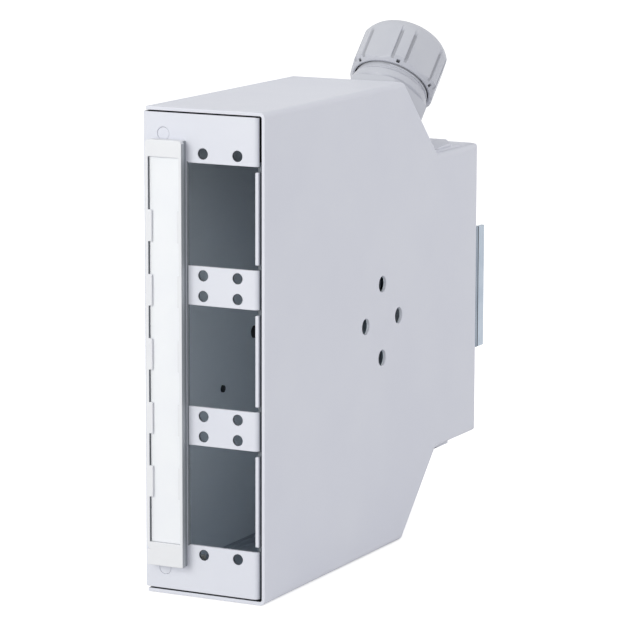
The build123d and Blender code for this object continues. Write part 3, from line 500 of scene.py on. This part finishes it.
def liftTongue(sheet, lift):
    for cut in ("start", "end"):
        faces = [f for f in sheet.faces if all(
            lift["bend"] < v.co.y < lift["tip"] and lift["low"] < v.co.z < lift["high"] for v in f.verts)]
        parts = list({e for f in faces for e in f.edges}) + list({v for f in faces for v in f.verts}) + faces
        bmesh.ops.bisect_plane(sheet, geom=parts, dist=0.000001, plane_co=(0, lift[cut], 0), plane_no=(0, 1, 0))
    for vert in sheet.verts:
        if lift["start"] < vert.co.y < lift["tip"] and lift["low"] < vert.co.z < lift["high"]:
            vert.co.z += lift["rise"] * min(1.0, (vert.co.y - lift["start"]) / (lift["end"] - lift["start"]))


def softenNode(name, node, width, segments):
    mesh, sheet = mergedMesh(node)
    bmesh.ops.dissolve_limit(sheet, angle_limit=softAngles["flat"], verts=sheet.verts, edges=sheet.edges)
    if node == "housing_shell":
        liftTongue(sheet, tongueLift)
    sheet.to_mesh(mesh)
    surface = BVHTree.FromBMesh(sheet)
    sheet.free()
    mesh.shade_smooth()
    rough = bpy.data.objects.new(name + "Rough", mesh)
    bpy.context.scene.collection.objects.link(rough)
    bevel = rough.modifiers.new("Bevel", "BEVEL")
    bevel.width, bevel.segments, bevel.limit_method = width, segments, "ANGLE"
    bevel.angle_limit, bevel.use_clamp_overlap = softAngles["bevel"], False
    weigh = rough.modifiers.new("Normals", "WEIGHTED_NORMAL")
    weigh.weight = 100
    graph = bpy.context.evaluated_depsgraph_get()
    done = bpy.data.meshes.new_from_object(rough.evaluated_get(graph))
    bpy.data.objects.remove(rough)
    for vert in done.vertices:      # a bevel that ran off at a tight corner comes back to the surface
        spot, _, _, gap = surface.find_nearest(vert.co)
        if gap > width:
            vert.co = spot
    piece = finishPiece(name, done, node, materialOf(node))
    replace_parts(piece, node)
    return piece


for name, (node, width, segments) in softEdges.items():
    softenNode(name, node, width, segments)
print("softened pieces:", len(softEdges))


# ---- gland cap: hexagon with rounded corner ribs, grooves, foot pockets and a domed end ----
glandSpot = {"place": (0.0034, 0.067654, 0.143846), "tilt": 45.0}    # middle of the hole in the slanted flange
capLook = {
    "flats": 0.0302, "ribRadius": 0.0162, "turn": -2.0,
    "bottom": 0.0160, "foot": 0.0163, "top": 0.0368, "dome": 0.0080,
    "footRadius": 0.0142, "flatsFoot": 0.0169, "chamferEnd": 0.0180,      # a chamfer of 45 degrees round the foot
    "grooveRadius": 0.00070, "grooveStart": 0.0170, "grooveEnd": 0.0325, "grooveFade": 0.0030, "grooveShade": 0.3,
    "pocketWidth": 0.0013, "pocketHeight": 0.0008, "pocketDepth": 0.0009, "pocketShade": 0.9,
    "mouth": 0.0092, "cavity": 0.01365, "coneStart": 0.0305, "lip": 0.0008,
    "domeSteps": 12, "sideSteps": 8,
}


def glandMatrix(spot):
    tilt = math.radians(spot["tilt"])
    across, up = Vector((1, 0, 0)), Vector((0, math.sin(tilt), math.cos(tilt)))
    side = up.cross(across)
    return Matrix.Translation(spot["place"]) @ Matrix((across, side, up)).transposed().to_4x4()


def capAngles(look):
    apothem = look["flats"] / 2
    ribHalf = 30 - math.degrees(math.acos(apothem / look["ribRadius"]))
    grooveHalf = math.degrees(look["grooveRadius"] / look["ribRadius"])
    pocketHalf = math.degrees(look["pocketWidth"] / look["ribRadius"]) / 2
    steps = [0.0, pocketHalf, pocketHalf + 0.15, (pocketHalf + ribHalf) / 2]
    steps += [ribHalf + grooveHalf * k for k in (-1.1, -1.0, -0.9, -0.7, -0.4, 0.0, 0.4, 0.7, 0.9, 1.0, 1.1)]
    steps += [ribHalf + grooveHalf + 2.0, 16.0, 20.0, 25.0]
    half = steps + [30.0] + [60.0 - step for step in reversed(steps[1:])]
    return [look["turn"] + 60 * k + step for k in range(6) for step in half], ribHalf


def capRadius(look, angle, height, ribHalf):
    apothem = look["flats"] / 2
    fromCorner = (angle - look["turn"] + 30) % 60 - 30
    radius = min(look["ribRadius"], apothem / math.cos(math.radians(30 - abs(fromCorner))))
    offset = math.radians(abs(abs(fromCorner) - ribHalf)) * look["ribRadius"]
    if offset < look["grooveRadius"]:
        fade = min(1.0, max(0.0, (look["grooveEnd"] - height) / look["grooveFade"])) * (height > look["grooveStart"])
        radius -= math.sqrt(look["grooveRadius"] ** 2 - offset ** 2) * fade
    domeStart = look["top"] - look["dome"]
    if height > domeStart:
        rise = height - domeStart
        limit = look["ribRadius"] - look["dome"] + math.sqrt(max(0.0, look["dome"] ** 2 - rise ** 2))
        radius = min(radius, limit)
    return radius


def makeGlandCap(look, spot):
    angles, ribHalf = capAngles(look)
    bottom, foot, top = look["bottom"], look["foot"], look["top"]
    domeStart = top - look["dome"]
    pocketTop = foot + look["pocketHeight"]
    sides = [foot, foot + 0.0001, look["flatsFoot"], pocketTop, pocketTop + 0.0001, look["grooveStart"] + 0.0006]
    sides.append(look["chamferEnd"])
    lowest = sides[-1]
    sides += [lowest + (domeStart - lowest) * (k + 1) / look["sideSteps"] for k in range(look["sideSteps"])]
    reach = math.acos((look["mouth"] - look["ribRadius"] + look["dome"]) / look["dome"])
    steps = look["domeSteps"]
    sides += [domeStart + look["dome"] * math.sin(reach * (k + 1) / steps) for k in range(steps)]
    # painted shade: the third value of each row darkens the foot pockets and the middles of the grooves
    rings = [[(look["footRadius"], bottom, 0.0)] * len(angles)]      # rows of radius, height and deep shade
    for height in sides:
        ring = []
        for angle in angles:
            chamfer = look["footRadius"] + height - bottom
            radius, deep = max(look["mouth"], min(chamfer, capRadius(look, angle, height, ribHalf))), 0.0
            fromCorner = abs((angle - look["turn"] + 30) % 60 - 30)
            if math.radians(abs(fromCorner - ribHalf)) * look["ribRadius"] < look["grooveRadius"] * 0.8:
                middle = look["grooveStart"] < height < look["grooveEnd"] - look["grooveFade"]
                deep = look["grooveShade"] if middle else 0.0
            inPocket = math.radians(fromCorner) * look["ribRadius"] < look["pocketWidth"] / 2 + 0.00001
            if inPocket and foot < height <= pocketTop:
                radius, deep = radius - look["pocketDepth"], look["pocketShade"]
            ring.append((radius, height, deep))
        rings.append(ring)
    lip = top - look["lip"]
    # painted shade: the cavity inside the cap is marked fully dark, so the gap under the cap reads black
    for radius, height, deep in (
            (look["mouth"], lip, 0.0), (look["cavity"], look["coneStart"], 1.0),
            (look["cavity"], bottom + 0.0003, 1.0), (look["cavity"], bottom + 0.00002, 1.0),
            (look["cavity"] + 0.00002, bottom, 0.0)):
        rings.append([(radius, height, deep)] * len(angles))
    mesh = bpy.data.meshes.new("glandCap")
    sheet = bmesh.new()
    deepLayer = sheet.verts.layers.float.new("deepShade")
    loops = []
    for ring in rings:
        loop = []
        for angle, (radius, height, deep) in zip(angles, ring):
            turn = math.radians(angle)
            vert = sheet.verts.new((radius * math.cos(turn), radius * math.sin(turn), height))
            vert[deepLayer] = deep
            loop.append(vert)
        loops.append(loop)
    for lower, upper in zip(loops, loops[1:] + loops[:1]):
        for k in range(len(angles)):
            after = (k + 1) % len(angles)
            sheet.faces.new((lower[k], lower[after], upper[after], upper[k]))
    bmesh.ops.remove_doubles(sheet, verts=sheet.verts, dist=0.000001)
    bmesh.ops.recalc_face_normals(sheet, faces=sheet.faces)
    sheet.transform(glandMatrix(spot))
    sheet.to_mesh(mesh)
    sheet.free()
    mesh.shade_smooth()
    mesh.set_sharp_from_angle(angle=math.radians(28))
    piece = finishPiece("glandCap", mesh, "gland_cap", materialOf("gland_cap"))
    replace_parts(piece, "gland_cap")
    return piece


makeGlandCap(capLook, glandSpot)
print("gland cap made")


# ---- Geometry Nodes trees: round wire and thread ridges, nuts with chamfered corners ----
def startTree(name, inputs):
    tree = bpy.data.node_groups.new(name, "GeometryNodeTree")
    tree.interface.new_socket(name="Geometry", in_out="INPUT", socket_type="NodeSocketGeometry")
    sockets = {}
    for label, kind, value in inputs:
        socket = tree.interface.new_socket(name=label, in_out="INPUT", socket_type=kind)
        if value is not None:
            socket.default_value = value
        sockets[label] = socket.identifier
    tree.interface.new_socket(name="Geometry", in_out="OUTPUT", socket_type="NodeSocketGeometry")
    return tree, tree.nodes.new("NodeGroupInput"), tree.nodes.new("NodeGroupOutput"), sockets


def endTree(tree, start, end, shape):
    realize = tree.nodes.new("GeometryNodeRealizeInstances")
    paint = tree.nodes.new("GeometryNodeSetMaterial")
    tree.links.new(shape, realize.inputs["Geometry"])
    tree.links.new(realize.outputs["Geometry"], paint.inputs["Geometry"])
    tree.links.new(start.outputs["Material"], paint.inputs["Material"])
    tree.links.new(paint.outputs["Geometry"], end.inputs["Geometry"])


def buildCoilTree():
    tree, start, end, sockets = startTree("coilTree", [
        ("Turns", "NodeSocketFloat", 6.0), ("Radius", "NodeSocketFloat", 0.002), ("Length", "NodeSocketFloat", 0.008),
        ("Wire", "NodeSocketFloat", 0.0003), ("Wire Sides", "NodeSocketInt", 10), ("Steps", "NodeSocketInt", 24),
        ("Material", "NodeSocketMaterial", None)])
    spiral = tree.nodes.new("GeometryNodeCurveSpiral")
    for label, socket in (("Turns", "Rotations"), ("Radius", "Start Radius"), ("Radius", "End Radius"),
                          ("Length", "Height"), ("Steps", "Resolution")):
        tree.links.new(start.outputs[label], spiral.inputs[socket])
    upright = tree.nodes.new("GeometryNodeSetCurveNormal")
    upright.mode = "Z_UP"
    tree.links.new(spiral.outputs["Curve"], upright.inputs["Curve"])
    wire = tree.nodes.new("GeometryNodeCurvePrimitiveCircle")
    tree.links.new(start.outputs["Wire Sides"], wire.inputs["Resolution"])
    tree.links.new(start.outputs["Wire"], wire.inputs["Radius"])
    sweep = tree.nodes.new("GeometryNodeCurveToMesh")
    sweep.inputs["Fill Caps"].default_value = True
    tree.links.new(upright.outputs["Curve"], sweep.inputs["Curve"])
    tree.links.new(wire.outputs["Curve"], sweep.inputs["Profile Curve"])
    endTree(tree, start, end, sweep.outputs["Mesh"])
    return tree, sockets


def buildNutTree():
    tree, start, end, sockets = startTree("nutTree", [
        ("Flats", "NodeSocketFloat", 0.008), ("Height", "NodeSocketFloat", 0.003), ("Bore", "NodeSocketFloat", 0.0015),
        ("Chamfer", "NodeSocketFloat", 0.0004), ("Corner", "NodeSocketFloat", 0.0), ("Sides", "NodeSocketInt", 48),
        ("Material", "NodeSocketMaterial", None)])

    def addTerm(operation, first, second):
        return addMath(tree, operation, first, second)

    # a ring with a rectangular section out to the corners, pressed in to the six flats
    inner = start.outputs["Bore"]
    outer = addTerm("DIVIDE", start.outputs["Flats"], 2 * math.cos(math.pi / 6))
    section = tree.nodes.new("GeometryNodeCurvePrimitiveQuadrilateral")
    tree.links.new(addTerm("SUBTRACT", outer, inner), section.inputs["Width"])
    tree.links.new(start.outputs["Height"], section.inputs["Height"])
    cut = tree.nodes.new("GeometryNodeFilletCurve")
    cut.mode = "POLY"
    next(s for s in cut.inputs if s.name == "Count").default_value = 1
    tree.links.new(section.outputs["Curve"], cut.inputs["Curve"])
    tree.links.new(start.outputs["Chamfer"], cut.inputs["Radius"])
    path = tree.nodes.new("GeometryNodeCurvePrimitiveCircle")
    tree.links.new(start.outputs["Sides"], path.inputs["Resolution"])
    tree.links.new(addTerm("MULTIPLY", addTerm("ADD", outer, inner), 0.5), path.inputs["Radius"])
    sweep = tree.nodes.new("GeometryNodeCurveToMesh")
    tree.links.new(path.outputs["Curve"], sweep.inputs["Curve"])
    tree.links.new(cut.outputs["Curve"], sweep.inputs["Profile Curve"])
    spot = tree.nodes.new("ShaderNodeSeparateXYZ")
    tree.links.new(tree.nodes.new("GeometryNodeInputPosition").outputs[0], spot.inputs[0])
    x, y, z = spot.outputs
    angle = addTerm("SUBTRACT", addTerm("ARCTAN2", y, x), start.outputs["Corner"])
    fromFlat = addTerm("SUBTRACT", addTerm("FLOORED_MODULO", angle, math.pi / 3), math.pi / 6)
    limit = addTerm("DIVIDE", addTerm("MULTIPLY", start.outputs["Flats"], 0.5), addTerm("COSINE", fromFlat, 0.0))
    radius = addTerm("SQRT", addTerm("ADD", addTerm("MULTIPLY", x, x), addTerm("MULTIPLY", y, y)), 0.0)
    share = addTerm("MINIMUM", addTerm("DIVIDE", limit, radius), 1.0)
    pressed = tree.nodes.new("ShaderNodeCombineXYZ")
    for socket, value in zip(pressed.inputs, (addTerm("MULTIPLY", x, share), addTerm("MULTIPLY", y, share), z)):
        tree.links.new(value, socket)
    press = tree.nodes.new("GeometryNodeSetPosition")
    tree.links.new(sweep.outputs["Mesh"], press.inputs["Geometry"])
    tree.links.new(pressed.outputs[0], press.inputs["Position"])
    spots = tree.nodes.new("GeometryNodeMeshToPoints")
    tree.links.new(start.outputs["Geometry"], spots.inputs["Mesh"])
    place = tree.nodes.new("GeometryNodeInstanceOnPoints")
    tree.links.new(spots.outputs["Points"], place.inputs["Points"])
    tree.links.new(press.outputs["Geometry"], place.inputs["Instance"])
    endTree(tree, start, end, place.outputs["Instances"])
    return tree, sockets


coilTree = buildCoilTree()
nutTree = buildNutTree()


def runTree(name, tree, values, points, matrix):
    group, sockets = tree
    seed = bpy.data.meshes.new(name + "Seed")
    seed.from_pydata(points, [], [])
    holder = bpy.data.objects.new(name + "Seed", seed)
    bpy.context.scene.collection.objects.link(holder)
    modifier = holder.modifiers.new("Shape", "NODES")
    modifier.node_group = group
    for label, value in values.items():
        modifier[sockets[label]] = value
    graph = bpy.context.evaluated_depsgraph_get()
    mesh = bpy.data.meshes.new_from_object(holder.evaluated_get(graph))
    holder.modifiers.remove(modifier)
    bpy.data.objects.remove(holder)
    mesh.transform(matrix)
    return mesh


def solidBoxes(node):
    mesh, sheet = mergedMesh(node)
    waiting, boxes = set(sheet.verts), []
    while waiting:
        reached, edge = set(), [waiting.pop()]
        while edge:
            vert = edge.pop()
            reached.add(vert)
            for link in vert.link_edges:
                other = link.other_vert(vert)
                if other in waiting:
                    waiting.discard(other)
                    edge.append(other)
        boxes.append([Vector([pick(v.co[k] for v in reached) for k in range(3)]) for pick in (min, max)])
    sheet.free()
    bpy.data.meshes.remove(mesh)
    return sorted(boxes, key=lambda box: tuple(box[0]))


def smoothPiece(mesh, degrees):
    mesh.shade_smooth()
    mesh.set_sharp_from_angle(angle=math.radians(degrees))


quarter = math.pi / 2
axisTurns = {"x": Matrix.Rotation(quarter, 4, "Y"), "y": Matrix.Rotation(-quarter, 4, "X"), "z": Matrix.Identity(4)}
springLook = {"wire": 0.0003, "turns": 6.0, "joint": "rail_latch_slide", "fixedEnd": 0.0021, "keep": 0.625}


def makeSpring(look):
    low, high = (Vector(corner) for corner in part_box("rail_clip_spring"))
    middle = (low + high) / 2
    wire = look["wire"]
    length = high.x - low.x - 2 * wire
    radius = (high.z - low.z) / 2 - wire
    turn = Matrix.Translation((low.x + wire, middle.y, middle.z)) @ axisTurns["x"]
    mesh = runTree("clipSpring", coilTree, {
        "Turns": look["turns"], "Radius": radius, "Length": length, "Wire": wire, "Wire Sides": 12, "Steps": 32,
        "Material": materialOf("rail_clip_spring")}, [(0, 0, 0)], turn)
    smoothPiece(mesh, 50)
    piece = finishPiece("clipSpring", mesh, "rail_clip_spring", materialOf("rail_clip_spring"))
    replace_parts(piece, "rail_clip_spring")
    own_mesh(piece)


makeSpring(springLook)
threadLook = {"start": 0.0118, "end": 0.0159, "radius": 0.0131, "pitch": 0.0015, "ridge": 0.00040}


def makeGlandThread(look, spot):
    length = look["end"] - look["start"] - 2 * look["ridge"]
    base = glandMatrix(spot) @ Matrix.Translation((0, 0, look["start"] + look["ridge"]))
    mesh = runTree("glandThread", coilTree, {
        "Turns": length / look["pitch"], "Radius": look["radius"], "Length": length, "Wire": look["ridge"],
        "Wire Sides": 12, "Steps": 96, "Material": materialOf("gland_body")}, [(0, 0, 0)], base)
    smoothPiece(mesh, 50)
    finishPiece("glandThread", mesh, "gland_body", materialOf("gland_body"))


makeGlandThread(threadLook, glandSpot)

nutLooks = {
    # new name: CAD node, axis, across flats, bore, first corner in degrees
    "clipNuts": ("rail_clip_nuts", "y", 0.0080, 0.00255, 0.0),
    "studNuts": ("front_stud_nuts", "y", 0.0055, 0.00155, 0.0),
    "trayNuts": ("splice_tray_nuts", "x", 0.0055, 0.00155, 90.0),
    "earthNuts": ("earth_nuts", "z", 0.0080, 0.00255, 0.0),
}
nutChamfer = 0.06      # share of the width across flats


def makeNuts(name, node, axis, flats, bore, corner):
    boxes = solidBoxes(node)
    along = "xyz".index(axis)
    height = boxes[0][1][along] - boxes[0][0][along]
    turn = axisTurns[axis]
    points = [turn.inverted() @ ((low + high) / 2) for low, high in boxes]
    mesh = runTree(name, nutTree, {
        "Flats": flats, "Height": height, "Bore": bore, "Chamfer": flats * nutChamfer,
        "Corner": math.radians(corner), "Material": materialOf(node)}, points, turn)
    smoothPiece(mesh, 25)
    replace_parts(finishPiece(name, mesh, node, materialOf(node)), node)


for name, values in nutLooks.items():
    makeNuts(name, *values)
print("spring and nuts made")


# ---- studio: pale floor, white surroundings, soft lamps ----
studio = {
    "floorTone": linear(225, 225, 226),
    "floorGlow": 0.62,      # what the camera sees added to the floor's own light
    "airStrength": 0.62,
    "target": (0, 0.02, 0.08),
    "lamps": [
        # name, place, size, watts, tint
        ("frontSoftbox", (-0.55, -1.70, 0.75), 1.1, 17.0, (0.995, 1.0, 0.94)),
        ("sideSoftbox", (1.80, -0.30, 0.70), 1.4, 4.2, (1.0, 1.0, 1.0)),
        ("rearSoftbox", (1.25, 1.30, 0.90), 1.0, 3.2, (1.0, 1.0, 0.99)),
        ("topSoftbox", (0.0, 0.2, 1.9), 1.4, 2.7, (0.97, 1.0, 0.92)),
    ],
}


def addSeenRays(tree):      # 1 for camera, mirror and clear rays, and 0 for the rays that light the object
    ray = tree.nodes.new("ShaderNodeLightPath")
    seen = addMath(tree, "MAXIMUM", ray.outputs["Is Camera Ray"], ray.outputs["Is Glossy Ray"])
    return addMath(tree, "MAXIMUM", seen, ray.outputs["Is Transmission Ray"])


def makeStudio(look):
    bpy.ops.mesh.primitive_plane_add(size=12.0, location=(0, 0, -0.0002))
    floor = bpy.context.object
    floor.name = "studioFloor"
    material = bpy.data.materials.new("studioFloor")
    material.use_nodes = True
    tree = material.node_tree
    tree.nodes.clear()
    out = tree.nodes.new("ShaderNodeOutputMaterial")
    matt = tree.nodes.new("ShaderNodeBsdfDiffuse")
    matt.inputs["Color"].default_value = look["floorTone"]
    glow = tree.nodes.new("ShaderNodeEmission")
    tree.links.new(addMath(tree, "MULTIPLY", addSeenRays(tree), look["floorGlow"]), glow.inputs["Strength"])
    both = tree.nodes.new("ShaderNodeAddShader")
    tree.links.new(matt.outputs[0], both.inputs[0])
    tree.links.new(glow.outputs[0], both.inputs[1])
    tree.links.new(both.outputs[0], out.inputs["Surface"])
    floor.data.materials.append(material)
    world = bpy.data.worlds.new("studioAir")
    bpy.context.scene.world = world
    world.use_nodes = True
    tree = world.node_tree
    back = next(n for n in tree.nodes if n.type == "BACKGROUND")
    back.inputs["Color"].default_value = (1, 1, 1, 1)
    strength = addRange(tree, addSeenRays(tree), 0.0, 1.0, look["airStrength"], 1.0)
    tree.links.new(strength, back.inputs["Strength"])
    for name, place, size, watts, tint in look["lamps"]:
        data = bpy.data.lights.new(name, "AREA")
        data.shape, data.size, data.energy, data.color = "SQUARE", size, watts, tint
        lamp = bpy.data.objects.new(name, data)
        bpy.context.scene.collection.objects.link(lamp)
        aim = (Vector(look["target"]) - Vector(place)).normalized()
        lamp.rotation_mode = "QUATERNION"
        lamp.rotation_quaternion = aim.to_track_quat("-Z", "Y")
        lamp.location = place


makeStudio(studio)
print("studio made")
